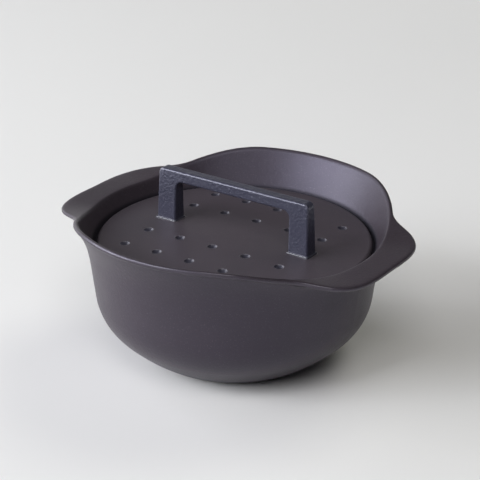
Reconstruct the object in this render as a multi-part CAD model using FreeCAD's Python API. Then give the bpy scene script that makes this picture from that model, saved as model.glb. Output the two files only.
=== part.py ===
import FreeCAD, Part
import math
import os

os.makedirs("parts", exist_ok=True)
V = FreeCAD.Vector
AXIS = V(0, 0, 1)
ZERO = V(0, 0, 0)

# Enamelled cast iron pot with a sunk lid. Millimetres, +Z up.
# X runs through the two wings, Y through the two raised walls.
# The origin is the centre of the base, on the surface the pot stands on.

# Lid
lid_radius = 105.6
lid_edge_thickness = 4.3
lid_rise = 3.0
lid_thickness = 4.0
lid_edge_round = 2.6
lid_under_round = 0.8
locating_ring_width = 3.0
locating_ring_drop = 2.6
locating_ring_round = 0.9
dimple_pitch = 30.0
dimple_mouth = 3.8
dimple_depth = 1.75
nub_radius = 4.2
nub_drop = 2.0

# Pot: seat that the lid rests on
seat_height = 90.4
lid_clearance = 1.6
seat_overlap = 3.4
ring_clearance = 1.8
seat_nose = 3.6
seat_under_slope = 7.5
seat_edge_round = 0.9
seat_corner_round = 1.0
flare_slope = 0.515

# Pot: foot, bowl and wall
foot_ring_width = 5.6
foot_edge_run = 4.12
foot_edge_height = 1.2
base_recess = 0.9
wall = 4.2
seat_wall = 4.0
floor_thickness = 5.2
floor_corner_round = 9.0
straight_below_seat = 10.4
shoulder_start_height = 51.23
straight_lean = 7.2
shoulder_radius = 44.0
shoulder_turn = 38.0
lower_bowl_radius = 150.0
flare_join_rise = 15.6

# Pot: wavy rim
lip_thickness = 3.2
flange_thickness = 4.2
lip_round = 1.3
edge_round = 2.1
inner_round = 0.9
wing_rise = 14.8
crest_rise = 17.1
rise_start = 14.0
rise_end = 67.0
wing_root = 12.0
wing_reach = 21.0
wing_half_angle = 30.0
wing_blend = 2.0
rim_columns = 96
# outline of a wing: share of its reach at each share of its half angle
outline_steps = (0.0, 0.27, 0.47, 0.6, 0.72, 0.82, 0.92, 1.04, 1.17, 1.3, 1.43, 1.6, 1.87, 3.0)
outline_shares = (0.91, 0.975, 1.035, 1.025, 0.935, 0.81, 0.605, 0.345, 0.145, -0.03, -0.18, -0.3, -0.4, -0.45)

# Lid handle
handle_half_length = 69.6
leg_width = 17.6
handle_top = 138.7
bar_height = 9.1
foot_half_depth = 6.3
bar_half_depth = 4.7
leg_draft = 1.3
outer_corner_round = 4.2
inner_corner_round = 5.5
handle_edge_round = 1.7
pad_rise = 0.8
pad_border = 0.9
pad_edge_round = 0.7

# Screws and washers
screw_diameter = 5.0
screw_hole = 5.5
tap_hole = 5.08
tap_depth = 15.0
screw_reach = 12.0
head_diameter = 9.4
head_height = 3.0
socket_width = 3.0
socket_depth = 1.9
washer_diameter = 12.0
washer_hole = 5.3
washer_thickness = 1.2
boss_radius = 8.5
boss_drop = 1.4


def rad(a):
    return math.radians(a)


def xz(r, z):
    return V(r, 0, z)


def revolve(edges):
    return Part.Wire(edges).revolve(ZERO, AXIS, 360)


def line(a, b):
    return Part.LineSegment(xz(*a), xz(*b)).toShape()


def arc3(a, m, b):
    return Part.Arc(xz(*a), xz(*m), xz(*b)).toShape()


def arc_from_centre(c, radius, a0, a1):
    # angles in degrees from the +r direction towards +z
    p = []
    for a in (a0, 0.5 * (a0 + a1), a1):
        p.append((c[0] + radius * math.cos(rad(a)), c[1] + radius * math.sin(rad(a))))
    return arc3(p[0], p[1], p[2])


def polar(c, radius, a):
    return (c[0] + radius * math.cos(rad(a)), c[1] + radius * math.sin(rad(a)))


def rounded(points, radii):
    # open path of straight runs; each inner corner gets its own radius
    edges = []
    start = points[0]
    for i in range(1, len(points) - 1):
        a = V(points[i - 1][0], points[i - 1][1], 0)
        b = V(points[i][0], points[i][1], 0)
        c = V(points[i + 1][0], points[i + 1][1], 0)
        r = radii[i - 1]
        if r <= 0:
            edges.append(line(start, (b.x, b.y)))
            start = (b.x, b.y)
            continue
        u = (a - b).normalize()
        w = (c - b).normalize()
        half = 0.5 * math.acos(max(-1.0, min(1.0, u.dot(w))))
        t = r / math.tan(half)
        p = b + u * t
        q = b + w * t
        mid = (u + w).normalize()
        m = b + mid * (r / math.sin(half) - r)
        edges.append(line(start, (p.x, p.y)))
        edges.append(arc3((p.x, p.y), (m.x, m.y), (q.x, q.y)))
        start = (q.x, q.y)
    edges.append(line(start, points[-1]))
    return edges


# The seat and the flare above it follow the lid.
seat_corner_radius = lid_radius + lid_clearance
seat_inner_radius = lid_radius - seat_overlap
locating_ring_outer = seat_inner_radius - ring_clearance
lid_crown_height = seat_height + lid_edge_thickness + lid_rise
wing_height = seat_height + wing_rise
crest_height = wing_height + crest_rise
flare_start_height = seat_height + 2.2 * seat_corner_round
straight_top_height = seat_height - straight_below_seat
straight_top_radius = seat_corner_radius + seat_wall

# Outer wall of the bowl, from the top of the straight wall down to the foot.
# The straight run leans out, a tight arc makes the shoulder and a wide arc
# makes the lower bowl down to the foot ring.
top = (straight_top_radius, straight_top_height)
lean = straight_lean
straight_drop = straight_top_height - shoulder_start_height
bend = (top[0] - straight_drop * math.tan(rad(lean)), shoulder_start_height)
centre1 = (bend[0] - shoulder_radius * math.cos(rad(lean)), bend[1] + shoulder_radius * math.sin(rad(lean)))
a_end = -lean - shoulder_turn
turn_point = polar(centre1, shoulder_radius, a_end)
centre2 = polar(centre1, shoulder_radius - lower_bowl_radius, a_end)


def angle_at_height(c, radius, z):
    return -math.degrees(math.asin((c[1] - z) / radius))


foot_z = foot_edge_height
a_foot = angle_at_height(centre2, lower_bowl_radius, foot_z)
foot_point = polar(centre2, lower_bowl_radius, a_foot)
# the foot ring lies just inside the edge where the bowl ends
foot_ring_flat = foot_point[0] - foot_edge_run
foot_ring_inner = foot_ring_flat - foot_ring_width
outer_lower = [
    line((0, base_recess), (foot_ring_inner, base_recess)),
    line((foot_ring_inner, base_recess), (foot_ring_inner + base_recess, 0)),
    line((foot_ring_inner + base_recess, 0), (foot_ring_flat, 0)),
]
# the foot's edge leaves the flat smoothly and meets the bowl
foot_run = foot_point[0] - foot_ring_flat
foot_arc_radius = (foot_run**2 + foot_z**2) / (2 * foot_z)
foot_half_turn = math.atan2(foot_z, foot_run)
mid_foot = (
    foot_ring_flat + foot_arc_radius * math.sin(foot_half_turn),
    foot_arc_radius - foot_arc_radius * math.cos(foot_half_turn),
)
outer_lower.append(arc3((foot_ring_flat, 0), mid_foot, foot_point))
outer_lower.append(arc_from_centre(centre2, lower_bowl_radius, a_foot, a_end))
outer_lower.append(arc_from_centre(centre1, shoulder_radius, a_end, -lean))
outer_lower.append(line(bend, top))
print("foot radius", round(foot_point[0], 2))


# Inner flare above the lid, a cone that the rim is cut from
def flare(z):
    return seat_corner_radius + flare_slope * (z - seat_height)


# Outer wall above the straight run: it bends out until it runs beside the flare
def outer_wall(z):
    z_join = seat_height + flare_join_rise
    r_join = flare(z_join) + lip_thickness
    if z >= z_join:
        return flare(z) + lip_thickness
    s = math.tan(rad(straight_lean))
    h = z_join - straight_top_height
    t = (z - straight_top_height) / h
    h00 = 2 * t**3 - 3 * t**2 + 1
    h10 = t**3 - 2 * t**2 + t
    h01 = -2 * t**3 + 3 * t**2
    h11 = t**3 - t**2
    return h00 * straight_top_radius + h10 * h * s + h01 * r_join + h11 * h * flare_slope


# Height of the rim: level over the wings, an S-curve up to the crest of the
# raised walls. It depends only on the angle from the nearest wing.
def fold(phi):
    f = abs(phi) % 180.0
    return 180.0 - f if f > 90.0 else f


def rim_height(phi):
    t = (fold(phi) - rise_start) / (rise_end - rise_start)
    t = max(0.0, min(1.0, t))
    s = t * t * (3 - 2 * t)
    return wing_height + (crest_height - wing_height) * s


# Outer radius of the rim: a smooth curve through the outline of the wing,
# which runs out gently into the lip of the raised wall.
def slopes(xs, ys):
    n = len(xs)
    d = [0.0] * n
    for i in range(1, n - 1):
        h0 = xs[i] - xs[i - 1]
        h1 = xs[i + 1] - xs[i]
        s0 = (ys[i] - ys[i - 1]) / h0
        s1 = (ys[i + 1] - ys[i]) / h1
        d[i] = (h1 * s0 + h0 * s1) / (h0 + h1)
    d[n - 1] = (ys[n - 1] - ys[n - 2]) / (xs[n - 1] - xs[n - 2])
    return d


outline_slopes = slopes(outline_steps, outline_shares)


def outline(x):
    xs = outline_steps
    ys = outline_shares
    i = 0
    while i < len(xs) - 2 and x > xs[i + 1]:
        i += 1
    h = xs[i + 1] - xs[i]
    t = (x - xs[i]) / h
    h00 = 2 * t**3 - 3 * t**2 + 1
    h10 = t**3 - 2 * t**2 + t
    h01 = -2 * t**3 + 3 * t**2
    h11 = t**3 - t**2
    return h00 * ys[i] + h10 * h * outline_slopes[i] + h01 * ys[i + 1] + h11 * h * outline_slopes[i + 1]


def rim_outer(phi):
    plain = outer_wall(rim_height(phi))
    share = outline(fold(phi) / wing_half_angle)
    wide = seat_corner_radius + wing_root + wing_reach * share
    # the larger of the two, with a soft change from one to the other
    gap = wide - plain
    return 0.5 * (wide + plain + math.sqrt(gap * gap + wing_blend * wing_blend))


# One section of the rim, from the straight wall up the outside, round the
# edge, over the flat top and down the inside to the start of the flare.
def section(phi):
    zt = rim_height(phi)
    ro = rim_outer(phi)
    ri = flare(zt)
    zu = zt - flange_thickness
    over = max(0.0, ro - edge_round - outer_wall(zu))
    s = over / (over + 2.5)
    s_top = over / (over + 1.5)
    er = lip_round + (edge_round - lip_round) * s_top
    ir = lip_round + (inner_round - lip_round) * s_top
    rows = []
    s0 = math.tan(rad(straight_lean))
    z0 = straight_top_height
    rows.append((straight_top_radius, z0))
    rows.append((straight_top_radius + 1.5 * s0, z0 + 1.5))
    za = zu - 11.5
    zb = zu - (7.0 * (1 - s) + 5.2 * s)
    zc = zu - (4.6 * (1 - s) + 1.5 * s)
    zd = zu - 2.2 * (1 - s)
    for k in (0.35, 0.7, 1.0):
        z = z0 + 1.5 + (za - z0 - 1.5) * k
        rows.append((outer_wall(z), z))
    z = 0.5 * (za + zb)
    rows.append((outer_wall(z), z))
    rows.append((outer_wall(zb), zb))
    rows.append((outer_wall(zc) + 0.07 * over, zc))
    rows.append((outer_wall(zd) + 0.36 * over, zd))
    rows.append((outer_wall(zu) + 0.72 * over + 0.0, zu + 0.2 * s))
    rows.append((ro - er - 0.1 * (1 - s), zt - flange_thickness + 0.5 * s + 0.3 * (1 - s)))
    rows.append((ro - 0.25 * er, zt - flange_thickness + 0.75))
    rows.append((ro + 0.12, zt - 2.1 - 0.1 * s))
    rows.append((ro - 0.2 * er, zt - 0.45))
    rows.append((ro - er, zt + 0.02))
    a = ro - er
    b = ri + ir
    rows.append((a + 0.35 * (b - a), zt))
    rows.append((a + 0.7 * (b - a), zt))
    rows.append((b, zt + 0.02))
    rows.append((flare(zt) + 0.35 * ir, zt - 0.35))
    rows.append((flare(zt - 1.3) - 0.05, zt - 1.3))
    rows.append((flare(zt - 3.2), zt - 3.2))
    zend = flare_start_height
    for k in (0.3, 0.65):
        z = (zt - 3.2) + (zend + 1.2 - zt + 3.2) * k
        rows.append((flare(z), z))
    rows.append((flare(zend + 1.2), zend + 1.2))
    rows.append((flare(zend), zend))
    return rows


# Closed cubic surface through the sections. Each value on a row is corrected
# until the smooth curve passes through it at every column.
def closed_row(values):
    n = len(values)
    p = list(values)
    for step in range(60):
        q = [(p[i - 1] + 4 * p[i] + p[(i + 1) % n]) / 6.0 for i in range(n)]
        p = [p[i] + values[i] - q[i] for i in range(n)]
    return p


def rim_face():
    n = rim_columns
    angles = [360.0 * i / n for i in range(n)]
    sections = [section(a) for a in angles]
    rows = len(sections[0])
    poles = [[None] * rows for i in range(n)]
    for j in range(rows):
        xs = closed_row([sections[i][j][0] * math.cos(rad(angles[i])) for i in range(n)])
        ys = closed_row([sections[i][j][0] * math.sin(rad(angles[i])) for i in range(n)])
        zs = closed_row([sections[i][j][1] for i in range(n)])
        for i in range(n):
            poles[i][j] = V(xs[i], ys[i], zs[i])
    surface = Part.BSplineSurface()
    inner = rows - 4
    surface.buildFromPolesMultsKnots(
        poles,
        [1] * (n + 1),
        [4] + [1] * inner + [4],
        [float(i) for i in range(n + 1)],
        [float(i) for i in range(inner + 2)],
        True,
        False,
        3,
        3,
    )
    return surface.toShape()


def make_pot():
    # inside of the bowl: lines and arcs parallel to the outside
    off = wall
    up = math.tan(rad(lean))
    r_in_top = top[0] - off / math.cos(rad(lean))
    slope_low = seat_height - seat_nose - seat_under_slope
    r_low = r_in_top - (top[1] - slope_low) * up
    bend_in = (bend[0] - off * math.cos(rad(lean)), bend[1] + off * math.sin(rad(lean)))
    inner_edges = rounded(
        [
            (flare(flare_start_height), flare_start_height),
            (seat_corner_radius, seat_height),
            (seat_inner_radius, seat_height),
            (seat_inner_radius, seat_height - seat_nose),
            (r_low, slope_low),
            bend_in,
        ],
        [seat_corner_round, seat_edge_round, 2.0, 5.0],
    )
    r1 = shoulder_radius - off
    r2 = lower_bowl_radius - off
    inner_edges.append(arc_from_centre(centre1, r1, -lean, a_end))
    # floor with a rounded corner into the lower bowl
    zf = floor_thickness
    cr = floor_corner_round
    cz = zf + cr
    reach = r2 - cr
    a_c = -math.degrees(math.asin((centre2[1] - cz) / reach))
    c3 = polar(centre2, reach, a_c)
    inner_edges.append(arc_from_centre(centre2, r2, a_end, a_c))
    inner_edges.append(arc_from_centre(c3, cr, a_c, -90.0))
    inner_edges.append(line((c3[0], zf), (0, zf)))
    outer = revolve(outer_lower)
    inner = revolve(inner_edges)
    # the surfaces meet on three circles and close into one skin
    pieces = outer.Faces + [rim_face()] + inner.Faces
    joined, history = pieces[0].generalFuse(pieces[1:], 1e-4)
    solid = Part.Solid(Part.makeShell(joined.Faces))
    if solid.Volume < 0:
        solid.reverse()
    return solid


def cap_height(r, crown, sphere):
    return crown - sphere + math.sqrt(sphere * sphere - r * r)


lid_sphere = (lid_radius**2 + lid_rise**2) / (2 * lid_rise)


def lid_top(r):
    return cap_height(r, lid_crown_height, lid_sphere)


def lid_under(r):
    return cap_height(r, lid_crown_height - lid_thickness, lid_sphere)


def leg_centre():
    return handle_half_length - 0.5 * leg_width


def dimple_places():
    places = []
    for i in (-2, -1, 0, 1, 2):
        for j in (-2, -1, 1, 2):
            places.append((i * dimple_pitch, j * dimple_pitch))
    return places


pad_top = lid_top(handle_half_length - leg_width) + pad_rise
boss_face = lid_under(leg_centre() + boss_radius) - boss_drop


def rounded_block(cx, cy, hx, hy, r, z0, z1):
    pts = []
    edges = []
    for sx, sy, a0 in ((1, 1, 0), (-1, 1, 90), (-1, -1, 180), (1, -1, 270)):
        c = V(cx + sx * (hx - r), cy + sy * (hy - r), z0)
        p = [c + V(r * math.cos(rad(a)), r * math.sin(rad(a)), 0) for a in (a0, a0 + 45, a0 + 90)]
        pts.append((p[0], p[2]))
        edges.append(Part.Arc(p[0], p[1], p[2]).toShape())
    out = []
    for k in range(4):
        out.append(edges[k])
        out.append(Part.LineSegment(pts[k][1], pts[(k + 1) % 4][0]).toShape())
    return Part.Face(Part.Wire(out)).extrude(V(0, 0, z1 - z0))


def make_lid():
    e = lid_edge_round
    # top dome down to the edge round
    a = math.asin((lid_radius - e) / (lid_sphere - e))
    c_top = (0, lid_crown_height - lid_sphere)
    p0 = (0, lid_crown_height)
    p1 = (lid_sphere * math.sin(a), c_top[1] + lid_sphere * math.cos(a))
    pm = (lid_sphere * math.sin(0.5 * a), c_top[1] + lid_sphere * math.cos(0.5 * a))
    c_e = ((lid_sphere - e) * math.sin(a), c_top[1] + (lid_sphere - e) * math.cos(a))
    p2 = (c_e[0] + e, c_e[1])
    half = 0.5 * (math.degrees(a) - 90.0) + 90.0
    pe = (c_e[0] + e * math.sin(rad(half)), c_e[1] + e * math.cos(rad(half)))
    z_seat = seat_height
    u = lid_under_round
    edges = [arc3(p0, pm, p1), arc3(p1, pe, p2)]
    r_o = locating_ring_outer
    r_i = r_o - locating_ring_width
    z_r = z_seat - locating_ring_drop
    edges += rounded(
        [p2, (lid_radius, z_seat), (r_o, z_seat), (r_o, z_r), (r_i, z_r), (r_i, lid_under(r_i))],
        [u, 0.5, locating_ring_round, locating_ring_round],
    )
    zi = lid_under(r_i)
    half_r = 0.5 * r_i
    edges.append(arc3((r_i, zi), (half_r, lid_under(half_r)), (0, lid_crown_height - lid_thickness)))
    edges.append(line((0, lid_crown_height - lid_thickness), p0))
    body = Part.Solid(revolve(edges[:-1]))
    if body.Volume < 0:
        body.reverse()
    adds = []
    cuts = []
    sphere = (dimple_mouth**2 + dimple_depth**2) / (2 * dimple_depth)
    for x, y in dimple_places():
        r = math.hypot(x, y)
        zt = lid_top(r)
        tilt = math.asin(r / lid_sphere)
        nx = math.sin(tilt) * (x / r if r else 0.0)
        ny = math.sin(tilt) * (y / r if r else 0.0)
        n = V(nx, ny, math.cos(tilt))
        cuts.append(Part.makeSphere(sphere, V(x, y, zt) + n * (sphere - dimple_depth)))
        zu = lid_under(r)
        adds.append(Part.makeSphere(nub_radius, V(x, y, zu - nub_drop + nub_radius)))
    for sx in (-1, 1):
        cx = sx * leg_centre()
        pad = rounded_block(
            cx,
            0,
            0.5 * leg_width + pad_border,
            foot_half_depth + pad_border,
            1.6,
            lid_top(leg_centre()) - 2.0,
            pad_top,
        )
        rims = [ed for ed in pad.Edges if min(v.Z for v in ed.Vertexes) > pad_top - 0.01]
        adds.append(pad.makeFillet(pad_edge_round, rims))
        adds.append(Part.makeCylinder(boss_radius, lid_under(leg_centre()) + 1.0 - boss_face, V(cx, 0, boss_face)))
        cuts.append(Part.makeCylinder(0.5 * screw_hole, 30, V(cx, 0, boss_face - 5)))
    # nubs keep only the part below the middle of the plate
    keep = Part.makeCylinder(lid_radius, 20, V(0, 0, lid_top(0) - 20.5 - 1.0))
    low = [s for s in adds if s.BoundBox.ZMax > lid_crown_height + 1.0 and s.BoundBox.ZMin < lid_top(0) - lid_thickness]
    body = body.fuse([s.common(keep) if s in low else s for s in adds])
    body = body.cut(cuts)
    return body.removeSplitter()


def make_handle():
    z0 = pad_top
    zt = handle_top
    xo = handle_half_length
    xi = handle_half_length - leg_width
    d = leg_draft
    pts = [
        V(-xo, 0, z0),
        V(-xo + d, 0, zt),
        V(xo - d, 0, zt),
        V(xo, 0, z0),
        V(xi, 0, z0),
        V(xi - 0.4, 0, zt - bar_height),
        V(-xi + 0.4, 0, zt - bar_height),
        V(-xi, 0, z0),
    ]
    radii = [0, outer_corner_round, outer_corner_round, 0, 0, inner_corner_round, inner_corner_round, 0]
    edges = []
    n = len(pts)
    ends = []
    arcs = []
    for i in range(n):
        b = pts[i]
        a = pts[i - 1]
        c = pts[(i + 1) % n]
        r = radii[i]
        if r == 0:
            ends.append((b, b))
            arcs.append(None)
            continue
        u = (a - b).normalize()
        w = (c - b).normalize()
        half = 0.5 * math.acos(u.dot(w))
        t = r / math.tan(half)
        m = b + (u + w).normalize() * (r / math.sin(half) - r)
        ends.append((b + u * t, b + w * t))
        arcs.append(Part.Arc(b + u * t, m, b + w * t).toShape())
    for i in range(n):
        if arcs[i]:
            edges.append(arcs[i])
        edges.append(Part.LineSegment(ends[i][1], ends[(i + 1) % n][0]).toShape())
    deep = foot_half_depth + 4.0
    face = Part.Face(Part.Wire(edges))
    block = face.extrude(V(0, 2 * deep, 0))
    block.translate(V(0, -deep, 0))
    # both broad faces lean in towards the top
    f = foot_half_depth
    b = bar_half_depth
    trap = [V(-xo - 5, -f, z0), V(-xo - 5, f, z0), V(-xo - 5, b, zt), V(-xo - 5, -b, zt), V(-xo - 5, -f, z0)]
    wedge = Part.Face(Part.makePolygon(trap)).extrude(V(2 * xo + 10, 0, 0))
    body = block.common(wedge)
    chosen = []
    for ed in body.Edges:
        c = ed.CenterOfMass
        if abs(c.z - z0) < 0.01:
            continue
        if abs(c.y) < 0.5 * b:
            continue
        chosen.append(ed)
    body = body.makeFillet(handle_edge_round, chosen)
    for sx in (-1, 1):
        hole = Part.makeCylinder(0.5 * tap_hole, tap_depth, V(sx * leg_centre(), 0, z0))
        cone = Part.makeCone(0.5 * tap_hole, 0.4, 1.4, V(sx * leg_centre(), 0, z0 + tap_depth))
        body = body.cut([hole, cone])
    return body


def make_screw(cx):
    z_head = boss_face - washer_thickness
    shank_top = pad_top + screw_reach
    shank = Part.makeCylinder(0.5 * screw_diameter, shank_top - z_head + 0.5, V(cx, 0, z_head - 0.5))
    tip = [ed for ed in shank.Edges if abs(ed.CenterOfMass.z - shank_top) < 0.01 and len(ed.Vertexes) == 1]
    shank = shank.makeChamfer(0.6, tip)
    head = Part.makeCylinder(0.5 * head_diameter, head_height, V(cx, 0, z_head - head_height))
    rim = [ed for ed in head.Edges if abs(ed.CenterOfMass.z - (z_head - head_height)) < 0.01]
    rim = [ed for ed in rim if len(ed.Vertexes) == 1]
    head = head.makeFillet(0.3 * head_height, rim)
    pts = []
    for k in range(7):
        a = rad(60 * k)
        rr = 0.5 * socket_width / math.cos(rad(30))
        pts.append(V(cx + rr * math.cos(a), rr * math.sin(a), z_head - head_height - 0.1))
    socket = Part.Face(Part.makePolygon(pts)).extrude(V(0, 0, socket_depth + 0.1))
    return shank.fuse(head).removeSplitter().cut(socket)


def make_washer(cx):
    z = boss_face - washer_thickness
    ring = Part.makeCylinder(0.5 * washer_diameter, washer_thickness, V(cx, 0, z))
    hole = Part.makeCylinder(0.5 * washer_hole, washer_thickness + 2, V(cx, 0, z - 1))
    ring = ring.cut(hole)
    edge = []
    for ed in ring.Edges:
        if len(ed.Vertexes) == 1 and abs(ed.CenterOfMass.z - z) < 0.01:
            if ed.BoundBox.XLength > washer_diameter - 1:
                edge.append(ed)
    return ring.makeFillet(0.35, edge)


pot = make_pot()
lid = make_lid()
handle = make_handle()
screws = Part.makeCompound([make_screw(-leg_centre()), make_screw(leg_centre())])
washers = Part.makeCompound([make_washer(-leg_centre()), make_washer(leg_centre())])

nodes = {
    "pot": pot,
    "lid": lid,
    "lid_handle": handle,
    "handle_screws": screws,
    "handle_washers": washers,
}
for name, shape in nodes.items():
    shape.exportStep("parts/" + name + ".step")
    box = shape.BoundBox
    print(
        name,
        "valid",
        shape.isValid(),
        "solids",
        len(shape.Solids),
        "faces",
        len(shape.Faces),
        "volume",
        round(shape.Volume / 1000.0, 2),
        "box",
        [round(v, 1) for v in (box.XMin, box.YMin, box.ZMin, box.XMax, box.YMax, box.ZMax)],
    )
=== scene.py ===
import math

import bpy
import numpy as np
from mathutils import Matrix, Vector

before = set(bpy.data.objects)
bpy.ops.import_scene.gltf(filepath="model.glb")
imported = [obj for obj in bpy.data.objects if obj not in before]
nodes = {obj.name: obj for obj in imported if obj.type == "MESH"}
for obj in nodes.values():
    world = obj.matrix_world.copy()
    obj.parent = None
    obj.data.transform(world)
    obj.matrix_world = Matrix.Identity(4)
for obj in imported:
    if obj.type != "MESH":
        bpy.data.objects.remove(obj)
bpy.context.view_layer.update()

print("frame loaded:", sorted(nodes))


# each input of a node, by its name or its number, gets a value or another node's output
def feedNode(tree, node, inputs):
    for key, source in inputs.items():
        if isinstance(source, bpy.types.NodeSocket):
            tree.links.new(source, node.inputs[key])
        else:
            node.inputs[key].default_value = source


# a node of that kind, with its settings and what feeds its inputs
def addNode(tree, kind, inputs=None, **settings):
    node = tree.nodes.new(kind)
    for key, value in settings.items():
        setattr(node, key, value)
    feedNode(tree, node, inputs or {})
    return node


# what a Math node puts out for those values or outputs
def calc(tree, operation, *terms, clamp=False):
    node = addNode(tree, "ShaderNodeMath", dict(enumerate(terms)), operation=operation, use_clamp=clamp)
    return node.outputs["Value"]


# the same for vectors: a dot product, a distance or a length comes out as a number
def vectorCalc(tree, operation, *terms):
    node = addNode(tree, "ShaderNodeVectorMath", dict(enumerate(terms)), operation=operation)
    isNumber = operation in ("DOT_PRODUCT", "DISTANCE", "LENGTH")
    return node.outputs["Value" if isNumber else "Vector"]


# where a Mix node keeps its two entries and its result, for each kind of data
mixSockets = {"FLOAT": (2, 3, 0), "RGBA": (6, 7, 2)}


# a blend from the first value or colour to the second, by a share from 0 to 1
def blend(tree, kind, share, first, second, way="MIX"):
    firstEntry, secondEntry, result = mixSockets[kind]
    node = addNode(tree, "ShaderNodeMix", {0: share, firstEntry: first, secondEntry: second},
                   data_type=kind, blend_type=way)
    return node.outputs[result]


# a value carried over from one range to another, straight or with soft ends
def mapRange(tree, value, fromRange, toRange=(0.0, 1.0), soft=False):
    node = addNode(tree, "ShaderNodeMapRange", {
        "Value": value, "From Min": fromRange[0], "From Max": fromRange[1],
        "To Min": toRange[0], "To Max": toRange[1]}, interpolation_type="SMOOTHSTEP" if soft else "LINEAR")
    return node.outputs["Result"]


# a noise of that scale, detail and roughness, from 0 to 1
def noise(tree, vector, scale, detail, roughness):
    node = addNode(tree, "ShaderNodeTexNoise", {
        "Vector": vector, "Scale": scale, "Detail": detail, "Roughness": roughness})
    return node.outputs["Fac"]


# a material with an empty node tree, and its output node
def newMaterial(name):
    material = bpy.data.materials.new(name)
    material.use_nodes = True
    material.node_tree.nodes.clear()
    return material, material.node_tree, material.node_tree.nodes.new("ShaderNodeOutputMaterial")


# a shader node group with its inputs and outputs as name and type; given is what it gets
def newGroup(name, inputs, outputs):
    group = bpy.data.node_groups.new(name, "ShaderNodeTree")
    for way, sockets in (("INPUT", inputs), ("OUTPUT", outputs)):
        for label, kind in sockets.items():
            group.interface.new_socket(name=label, in_out=way, socket_type="NodeSocket" + kind)
    given = group.nodes.new("NodeGroupInput").outputs
    return group, given, group.nodes.new("NodeGroupOutput")


# a group placed in a material, with that material's own values
def placeGroup(tree, group, inputs):
    return addNode(tree, "ShaderNodeGroup", inputs, node_tree=group)


# the material in every slot of a piece
def giveMaterial(piece, material):
    if not piece.data.materials:
        piece.data.materials.append(material)
    for index in range(len(piece.data.materials)):
        piece.data.materials[index] = material


sideways = (1.0, 1.0, 0.0)   # times a place, its way out from the z axis

# a noise is its detail and its roughness
grainValues = {"cellSmoothness": 0.9, "soft": (3.0, 0.55), "fine": (2.0, 0.6)}
enamelToneValues = {
    "drift": (4.0, 0.6), "driftRange": (0.32, 0.68),
    "speck": (1.0, 0.5), "speckRange": (0.62, 0.78), "speckTone": (0.16, 0.15, 0.17, 1),
}


# Sand-cast skin under the enamel: soft pebbles, which are a smooth cell pattern times a noise,
# mixed with a share of finer noise
def makeCastGrain(v):
    group, given, leave = newGroup("castGrain",
        {"Vector": "Vector", "Pebble": "Float", "Fine": "Float", "Fine Share": "Float"}, {"Height": "Float"})
    cells = addNode(group, "ShaderNodeTexVoronoi", {
        "Vector": given["Vector"], "Scale": given["Pebble"], "Smoothness": v["cellSmoothness"]}, feature="SMOOTH_F1")
    soft = noise(group, given["Vector"], given["Pebble"], *v["soft"])
    fine = noise(group, given["Vector"], given["Fine"], *v["fine"])
    pebble = calc(group, "MULTIPLY", cells.outputs["Distance"], soft)
    feedNode(group, leave, {"Height": blend(group, "FLOAT", given["Fine Share"], pebble, fine)})
    return group


# Fired colour that drifts over the surface between two tones, with faint pale specks, and a
# roughness that swings with it to both sides of its middle value
def makeEnamelTone(v):
    group, given, leave = newGroup("enamelTone",
        {"Vector": "Vector", "Tone": "Color", "Second Tone": "Color", "Drift": "Float", "Speck Size": "Float",
         "Speck Amount": "Float", "Roughness": "Float", "Roughness Spread": "Float"},
        {"Color": "Color", "Roughness": "Float"})
    drift = noise(group, given["Vector"], given["Drift"], *v["drift"])
    share = mapRange(group, drift, v["driftRange"], soft=True)
    tones = blend(group, "RGBA", share, given["Tone"], given["Second Tone"])
    speck = noise(group, given["Vector"], given["Speck Size"], *v["speck"])
    dots = calc(group, "MULTIPLY", mapRange(group, speck, v["speckRange"]), given["Speck Amount"])
    centred = calc(group, "SUBTRACT", share, 0.5)
    feedNode(group, leave, {
        "Color": blend(group, "RGBA", dots, tones, v["speckTone"], way="SCREEN"),
        "Roughness": calc(group, "MULTIPLY_ADD", centred, given["Roughness Spread"], given["Roughness"])})
    return group


# Where enamel draws thin over a round, painted in a lighter tone as a highlight along the edge:
# how far the true normal turns away from one averaged over a small reach, which is 1 less their
# dot product, times a gain, up to 1
def makeThinEdgeHighlight():
    group, given, leave = newGroup("thinEdgeHighlight",
        {"Averaged": "Vector", "Gain": "Float", "Color": "Color", "Edge Highlight Color": "Color",
         "Roughness": "Float", "Edge Roughness": "Float"},
        {"Color": "Color", "Roughness": "Float", "Edge": "Float"})
    normal = addNode(group, "ShaderNodeNewGeometry").outputs["Normal"]
    turned = calc(group, "SUBTRACT", 1.0, vectorCalc(group, "DOT_PRODUCT", given["Averaged"], normal))
    edge = calc(group, "MULTIPLY", turned, given["Gain"], clamp=True)
    feedNode(group, leave, {
        "Color": blend(group, "RGBA", edge, given["Color"], given["Edge Highlight Color"]),
        "Roughness": blend(group, "FLOAT", edge, given["Roughness"], given["Edge Roughness"]),
        "Edge": edge})
    return group


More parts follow.
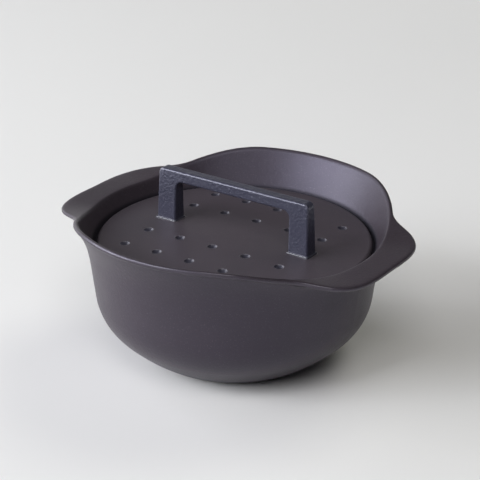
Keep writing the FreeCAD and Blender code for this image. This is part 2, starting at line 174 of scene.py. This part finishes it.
# Marks on a domed crown, which is part of a sphere, as two masks within a reach of the z axis. A
# point's height is its distance from the centre less the radius. Hollows lie under the crown, by
# more than shallow and less than deep, which is short of the plate's underside. Raised pads lie
# over it by more than shallow.
def makeCrownMarks():
    group, given, leave = newGroup("crownMarks",
        {"Vector": "Vector", "Centre": "Vector", "Radius": "Float", "Reach": "Float", "Shallow": "Float",
         "Deep": "Float"},
        {"Hollow": "Float", "Raised": "Float"})
    away = vectorCalc(group, "DISTANCE", given["Vector"], given["Centre"])
    height = calc(group, "SUBTRACT", away, given["Radius"])
    depth = calc(group, "MULTIPLY", height, -1.0)
    around = vectorCalc(group, "LENGTH", vectorCalc(group, "MULTIPLY", given["Vector"], sideways))
    within = calc(group, "LESS_THAN", around, given["Reach"])
    under = calc(group, "GREATER_THAN", depth, given["Shallow"])
    inPlate = calc(group, "LESS_THAN", depth, given["Deep"])
    above = calc(group, "GREATER_THAN", height, given["Shallow"])
    feedNode(group, leave, {
        "Hollow": calc(group, "MULTIPLY", calc(group, "MULTIPLY", under, inPlate), within),
        "Raised": calc(group, "MULTIPLY", above, within)})
    return group


# The bare matte band where the lid sits, painted near black as shade for the gap between the lid's
# edge and the wall: nothing below the bottom, full up to low and gone at high, and only on faces
# that look up or inwards, where the true normal times the way out from the axis stays under a very
# small number
def makeSeatShadeBand():
    group, given, leave = newGroup("seatShadeBand",
        {"Vector": "Vector", "Bottom": "Float", "Low": "Float", "High": "Float", "Outwards": "Float"},
        {"Mask": "Float"})
    z = addNode(group, "ShaderNodeSeparateXYZ", {0: given["Vector"]}).outputs["Z"]
    normal = addNode(group, "ShaderNodeNewGeometry").outputs["Normal"]
    wayOut = vectorCalc(group, "MULTIPLY", given["Vector"], sideways)
    inwards = calc(group, "LESS_THAN", vectorCalc(group, "DOT_PRODUCT", wayOut, normal), given["Outwards"])
    above = calc(group, "GREATER_THAN", z, given["Bottom"])
    fade = mapRange(group, z, (given["Low"], given["High"]), (1.0, 0.0), soft=True)
    feedNode(group, leave, {"Mask": calc(group, "MULTIPLY", calc(group, "MULTIPLY", above, inwards), fade)})
    return group


castGrain = makeCastGrain(grainValues)
enamelTone = makeEnamelTone(enamelToneValues)
thinEdgeHighlight = makeThinEdgeHighlight()
crownMarks = makeCrownMarks()
seatShadeBand = makeSeatShadeBand()
print("shared effects made")

# Lengths and heights are in metres; drift, speckSize, pebble and fine are scales, so a larger one
# is a finer pattern. Marks are places with a finish of their own and a tone painted darker as
# shade: the band at the ledge on the pot, and the dimples and the pads under the legs on the lid.
potEnamelValues = {
    "tone": (0.038, 0.0295, 0.037, 1), "secondTone": (0.033, 0.0265, 0.0325, 1), "drift": 11.0,
    "speckSize": 1100.0, "speckAmount": 0.22, "roughness": 0.41, "roughnessSpread": 0.06,
    "pebble": 420.0, "fine": 2100.0, "fineShare": 0.35, "grainHeight": 0.00020,
    "specular": 0.52, "specularTint": (0.76, 0.74, 1.0, 1),
    "edgeReach": 0.0016, "edgeGain": 14.0, "edgeHighlightTone": (0.045, 0.038, 0.048, 1), "edgeRoughness": 0.22,
    "coatRoughness": 0.10, "coatIor": 2.2,
    "marks": [
        # painted shade: the seat band's near-black tone stands for the shade in the gap under the lid's edge
        {"group": seatShadeBand, "mask": "Mask", "tone": (0.006, 0.005, 0.006, 1), "roughness": 0.75, "coat": 0.0,
         "values": {"Bottom": 0.0800, "Low": 0.0925, "High": 0.0962, "Outwards": 0.005}}],
}
lidCrown = {"Centre": (0.0, 0.0, -1.76236), "Radius": 1.86006, "Reach": 0.098, "Shallow": 0.0002, "Deep": 0.0025}
lidEnamelValues = {
    "tone": (0.062, 0.052, 0.063, 1), "secondTone": (0.054, 0.047, 0.056, 1), "drift": 13.0,
    "speckSize": 1100.0, "speckAmount": 0.18, "roughness": 0.44, "roughnessSpread": 0.06,
    "pebble": 420.0, "fine": 2100.0, "fineShare": 0.35, "grainHeight": 0.00007,
    "specular": 0.35, "specularTint": (0.78, 0.75, 1.0, 1),
    "edgeReach": 0.0026, "edgeGain": 8.0, "edgeHighlightTone": (0.072, 0.065, 0.080, 1), "edgeRoughness": 0.30,
    "coatRoughness": 0.30, "coatIor": 1.8,
    "marks": [
        # painted shade: the dimples' tone is darker than the lid's, standing for the shade inside them
        {"group": crownMarks, "mask": "Hollow", "tone": (0.030, 0.029, 0.044, 1), "roughness": 0.34, "coat": 0.8,
         "values": lidCrown},
        # painted shade: the pads' tone is darker than the lid's, standing for the shaded joint under each leg, so
        # only their glints show
        {"group": crownMarks, "mask": "Raised", "tone": (0.026, 0.028, 0.042, 1), "roughness": 0.20, "coat": 1.0,
         "values": lidCrown}],
}
handleEnamelValues = {
    "tone": (0.037, 0.037, 0.059, 1), "secondTone": (0.031, 0.032, 0.051, 1), "drift": 40.0,
    "speckSize": 1300.0, "speckAmount": 0.25, "roughness": 0.33, "roughnessSpread": 0.08,
    "pebble": 520.0, "fine": 1800.0, "fineShare": 0.1, "grainHeight": 0.00045,
    "specular": 0.85, "specularTint": (0.82, 0.82, 1.0, 1),
    "edgeReach": 0.0014, "edgeGain": 5.0, "edgeHighlightTone": (0.11, 0.11, 0.15, 1), "edgeRoughness": 0.22,
    "coatRoughness": 0.12, "coatIor": 2.0,
    "marks": [],
}
bevelSamples = 6   # rays for the averaged normal at an edge


# Satin enamel: a drifting tone with specks, glassy thin edges over it painted lighter as a highlight,
# the piece's own marks over those with tones painted darker as shade, and the cast grain as its
# bump. The coat is there only on the edges and the marks.
def makeEnamel(name, v):
    material, tree, output = newMaterial(name)
    place = addNode(tree, "ShaderNodeTexCoord").outputs["Object"]
    tone = placeGroup(tree, enamelTone, {
        "Vector": place, "Tone": v["tone"], "Second Tone": v["secondTone"], "Drift": v["drift"],
        "Speck Size": v["speckSize"], "Speck Amount": v["speckAmount"],
        "Roughness": v["roughness"], "Roughness Spread": v["roughnessSpread"]})
    averaged = addNode(tree, "ShaderNodeBevel", {"Radius": v["edgeReach"]}, samples=bevelSamples)
    # the edge tone is a painted highlight along the rounds, lighter than the enamel
    edge = placeGroup(tree, thinEdgeHighlight, {
        "Averaged": averaged.outputs["Normal"], "Gain": v["edgeGain"],
        "Color": tone.outputs["Color"], "Edge Highlight Color": v["edgeHighlightTone"],
        "Roughness": tone.outputs["Roughness"], "Edge Roughness": v["edgeRoughness"]})
    colour, roughness, coat = edge.outputs["Color"], edge.outputs["Roughness"], edge.outputs["Edge"]
    for shadeMark in v["marks"]:
        share = placeGroup(tree, shadeMark["group"], {"Vector": place, **shadeMark["values"]}).outputs[shadeMark["mask"]]
        # the tone laid over here is painted shade: near black in the seat's gap, darker in the dimples and on the
        # pads
        colour = blend(tree, "RGBA", share, colour, shadeMark["tone"])
        roughness = blend(tree, "FLOAT", share, roughness, shadeMark["roughness"])
        coat = blend(tree, "FLOAT", share, coat, shadeMark["coat"])
    grain = placeGroup(tree, castGrain, {
        "Vector": place, "Pebble": v["pebble"], "Fine": v["fine"], "Fine Share": v["fineShare"]})
    bump = addNode(tree, "ShaderNodeBump", {"Height": grain.outputs["Height"], "Distance": v["grainHeight"]})
    shader = addNode(tree, "ShaderNodeBsdfPrincipled", {
        "Base Color": colour, "Roughness": roughness, "Coat Weight": coat, "Normal": bump.outputs["Normal"],
        "Specular IOR Level": v["specular"], "Specular Tint": v["specularTint"],
        "Coat Roughness": v["coatRoughness"], "Coat IOR": v["coatIor"]})
    feedNode(tree, output, {"Surface": shader.outputs["BSDF"]})
    return material


giveMaterial(nodes["pot"], makeEnamel("potEnamel", potEnamelValues))
giveMaterial(nodes["lid"], makeEnamel("lidEnamel", lidEnamelValues))
giveMaterial(nodes["lid_handle"], makeEnamel("handleEnamel", handleEnamelValues))
print("enamel on the pot, lid and handle")

# height is in metres; marks is a noise's scale, detail and roughness. The noise is drawn out along
# the ways with a small scale: along a screw's axis, and along x on a washer.
steelValues = {
    "colour": (0.56, 0.56, 0.57, 1), "worn": (0.46, 0.46, 0.47, 1), "roughness": (0.24, 0.40), "height": 0.000015,
    "marks": (1.0, 3.0, 0.6), "screwMarks": (900.0, 900.0, 60.0), "washerMarks": (120.0, 1400.0, 120.0),
}


# Machined stainless steel: drawn-out noise for the tool marks, in its tone, roughness and bump
def makeSteel(name, v, marksScale):
    material, tree, output = newMaterial(name)
    place = addNode(tree, "ShaderNodeTexCoord").outputs["Object"]
    drawn = addNode(tree, "ShaderNodeMapping", {"Vector": place, "Scale": marksScale}).outputs["Vector"]
    marks = noise(tree, drawn, *v["marks"])
    bump = addNode(tree, "ShaderNodeBump", {"Height": marks, "Distance": v["height"]})
    shader = addNode(tree, "ShaderNodeBsdfPrincipled", {
        "Base Color": blend(tree, "RGBA", marks, v["colour"], v["worn"]), "Metallic": 1.0,
        "Roughness": mapRange(tree, marks, (0.0, 1.0), v["roughness"]), "Normal": bump.outputs["Normal"]})
    feedNode(tree, output, {"Surface": shader.outputs["BSDF"]})
    return material


giveMaterial(nodes["handle_screws"], makeSteel("screwSteel", steelValues, steelValues["screwMarks"]))
giveMaterial(nodes["handle_washers"], makeSteel("washerSteel", steelValues, steelValues["washerMarks"]))
print("steel on the screws and washers")


# 1 for a ray that shows the background, straight, in a reflection or through glass, and 0 for
# one that lights the object
def shownRays(tree):
    path = addNode(tree, "ShaderNodeLightPath").outputs
    straight = calc(tree, "MAXIMUM", path["Is Camera Ray"], path["Is Glossy Ray"])
    return calc(tree, "MAXIMUM", straight, path["Is Transmission Ray"])


# mottle is the scale, detail and roughness of the paper's noise; fade is where the paper starts to
# give way to the plain backdrop and where it is gone, in metres from the pot's middle
floorValues = {
    "reach": 7.0, "height": -0.0002, "cells": 8, "near": (0.80, 0.80, 0.81, 1), "far": (0.84, 0.84, 0.84, 1),
    "mottle": (1.3, 2.0, 0.5), "roughness": 0.9, "specular": 0.1,
    "backdrop": (0.80, 0.80, 0.80, 1), "fade": (0.75, 2.2),
}


# A flat pale sheet under the pot: z is one height over an even grid of x and y. Far from the pot
# it blends into a plain backdrop, for the rays that show the background.
def makeFloor(v):
    count = v["cells"] + 1
    steps = np.linspace(-v["reach"], v["reach"], count)
    x, y = np.meshgrid(steps, steps)
    points = np.stack([x.ravel(), y.ravel(), np.full(x.size, v["height"])], 1)
    corner = (np.arange(v["cells"])[:, None] * count + np.arange(v["cells"])).ravel()
    faces = np.stack([corner, corner + 1, corner + count + 1, corner + count], 1)
    mesh = bpy.data.meshes.new("floor")
    mesh.from_pydata(points.tolist(), [], faces.tolist())
    floor = bpy.data.objects.new("floor", mesh)
    bpy.context.scene.collection.objects.link(floor)
    material, tree, output = newMaterial("floorPaper")
    place = addNode(tree, "ShaderNodeTexCoord").outputs["Object"]
    tone = blend(tree, "RGBA", noise(tree, place, *v["mottle"]), v["near"], v["far"])
    paper = addNode(tree, "ShaderNodeBsdfPrincipled", {
        "Base Color": tone, "Roughness": v["roughness"], "Specular IOR Level": v["specular"]})
    plain = addNode(tree, "ShaderNodeEmission", {"Color": v["backdrop"], "Strength": 1.0})
    far = mapRange(tree, vectorCalc(tree, "LENGTH", place), v["fade"], soft=True)
    surface = addNode(tree, "ShaderNodeMixShader", {
        0: calc(tree, "MULTIPLY", shownRays(tree), far), 1: paper.outputs["BSDF"], 2: plain.outputs["Emission"]})
    feedNode(tree, output, {"Surface": surface.outputs["Shader"]})
    giveMaterial(floor, material)
    return floor


makeFloor(floorValues)
print("floor laid")

# angles in degrees, but roll in radians; distance in metres; baseAt is the pixel at which the
# camera sees the centre of the foot
cameraValues = {
    "azimuth": 34.0, "elevation": 23.7333, "roll": 0.0076, "distance": 1.340,
    "focalPixels": 1694.4, "baseAt": (234.0, 346.54), "imageSize": 480, "sensor": 36.0,
}


# The camera's right, up and back directions for its azimuth, elevation and roll
def cameraAxes(v):
    a, e = math.radians(v["azimuth"]), math.radians(v["elevation"])
    back = Vector((math.sin(a) * math.cos(e), -math.cos(a) * math.cos(e), math.sin(e)))
    right = Vector((math.cos(a), math.sin(a), 0))
    up = back.cross(right)
    c, s = math.cos(v["roll"]), math.sin(v["roll"])
    return c * right + s * up, c * up - s * right, back


# A camera that stands back along its axis and is slid sideways and up by its base pixel's share
# of the distance
def makeCamera(v):
    right, up, back = cameraAxes(v)
    half = v["imageSize"] / 2
    perPixel = v["distance"] / v["focalPixels"]
    slideLeft, slideUp = ((at - half) * perPixel for at in v["baseAt"])
    place = back * v["distance"] - right * slideLeft + up * slideUp
    data = bpy.data.cameras.new("camera")
    data.sensor_width = v["sensor"]
    data.lens = v["focalPixels"] / v["imageSize"] * v["sensor"]
    camera = bpy.data.objects.new("camera", data)
    bpy.context.scene.collection.objects.link(camera)
    camera.matrix_world = Matrix((
        (right.x, up.x, back.x, place.x), (right.y, up.y, back.y, place.y),
        (right.z, up.z, back.z, place.z), (0, 0, 0, 1)))
    bpy.context.scene.camera = camera


makeCamera(cameraValues)
print("camera set")

# Round is the way of a lamp in degrees, from the camera's left by its front; rise is its height in
# degrees; power in watts. A fill lamp that isn't mirrored leaves no glints of its own.
lampValues = {
    "window": {"round": 0.0, "rise": 12.0, "power": 148.0, "colour": (0.98, 0.993, 1.0), "mirrored": True},
    "leftBack": {"round": -30.0, "rise": 30.0, "power": 35.0, "colour": (0.92, 0.93, 1.0), "mirrored": True},
    "leftFront": {"round": 30.0, "rise": 30.0, "power": 107.0, "colour": (0.951, 0.967, 1.0), "mirrored": True},
    "front": {"round": 90.0, "rise": 50.0, "power": 51.0, "colour": (1.0, 0.978, 0.964), "mirrored": True},
    "rightBack": {"round": 225.0, "rise": 50.0, "power": 38.0, "colour": (1.0, 0.99, 0.882), "mirrored": False},
}
studioValues = {
    "distance": 4.0, "size": 2.2, "aim": (0.0, 0.0, 0.06),   # of every lamp
    "ambient": 0.01, "ambientColour": (1.0, 0.965, 0.93, 1),
    "backdrop": (0.80, 0.80, 0.80, 1), "ceiling": (0.10, 0.10, 0.10, 1), "fade": (7.0, 23.0),
    "sides": (-0.5, 0.6), "mirroredStrength": (1.45, 0.25),
}


# the way to the right of the camera, level with the floor
def cameraRight():
    a = math.radians(cameraValues["azimuth"])
    return Vector((math.cos(a), math.sin(a), 0))


# A soft square lamp that looks at the middle of the pot
def makeLamp(name, v, studio):
    left = -cameraRight()
    front = Vector((-left.y, left.x, 0))
    turn, rise = math.radians(v["round"]), math.radians(v["rise"])
    way = (left * math.cos(turn) + front * math.sin(turn)) * math.cos(rise) + Vector((0, 0, math.sin(rise)))
    data = bpy.data.lights.new(name, "AREA")
    data.shape = "SQUARE"
    data.size = studio["size"]
    data.energy = v["power"]
    data.color = v["colour"]
    lamp = bpy.data.objects.new(name, data)
    bpy.context.scene.collection.objects.link(lamp)
    lamp.location = Vector(studio["aim"]) + way * studio["distance"]
    lamp.rotation_mode = "QUATERNION"
    lamp.rotation_quaternion = way.to_track_quat("Z", "Y")
    lamp.visible_glossy = v["mirrored"]


for lamp, values in lampValues.items():
    makeLamp(lamp + "Light", values, studioValues)


# A plain studio: a faint even light for the object, and a pale backdrop wherever it is seen,
# straight, in a reflection or through glass. In reflections it fades to a dim ceiling between two
# heights, in degrees above the horizon, and its strength falls from the window's side to the
# other, between two shares of the way to the camera's right.
def makeWorld(v):
    world = bpy.data.worlds.new("studio")
    bpy.context.scene.world = world
    world.use_nodes = True
    tree = world.node_tree
    tree.nodes.clear()
    way = addNode(tree, "ShaderNodeTexCoord").outputs["Generated"]
    reflected = addNode(tree, "ShaderNodeLightPath").outputs["Is Glossy Ray"]
    height = addNode(tree, "ShaderNodeSeparateXYZ", {0: way}).outputs["Z"]
    rise = mapRange(tree, height, [math.sin(math.radians(angle)) for angle in v["fade"]], soft=True)
    tone = blend(tree, "RGBA", calc(tree, "MULTIPLY", rise, reflected), v["backdrop"], v["ceiling"])
    side = vectorCalc(tree, "DOT_PRODUCT", way, cameraRight())
    strength = blend(tree, "FLOAT", reflected, 1.0, mapRange(tree, side, v["sides"], v["mirroredStrength"]))
    lit = addNode(tree, "ShaderNodeBackground", {"Color": v["ambientColour"], "Strength": v["ambient"]})
    seen = addNode(tree, "ShaderNodeBackground", {"Color": tone, "Strength": strength})
    pick = addNode(tree, "ShaderNodeMixShader", {
        0: shownRays(tree), 1: lit.outputs["Background"], 2: seen.outputs["Background"]})
    addNode(tree, "ShaderNodeOutputWorld", {"Surface": pick.outputs["Shader"]})


makeWorld(studioValues)
bpy.context.scene.view_settings.view_transform = "Standard"
print("lights on")
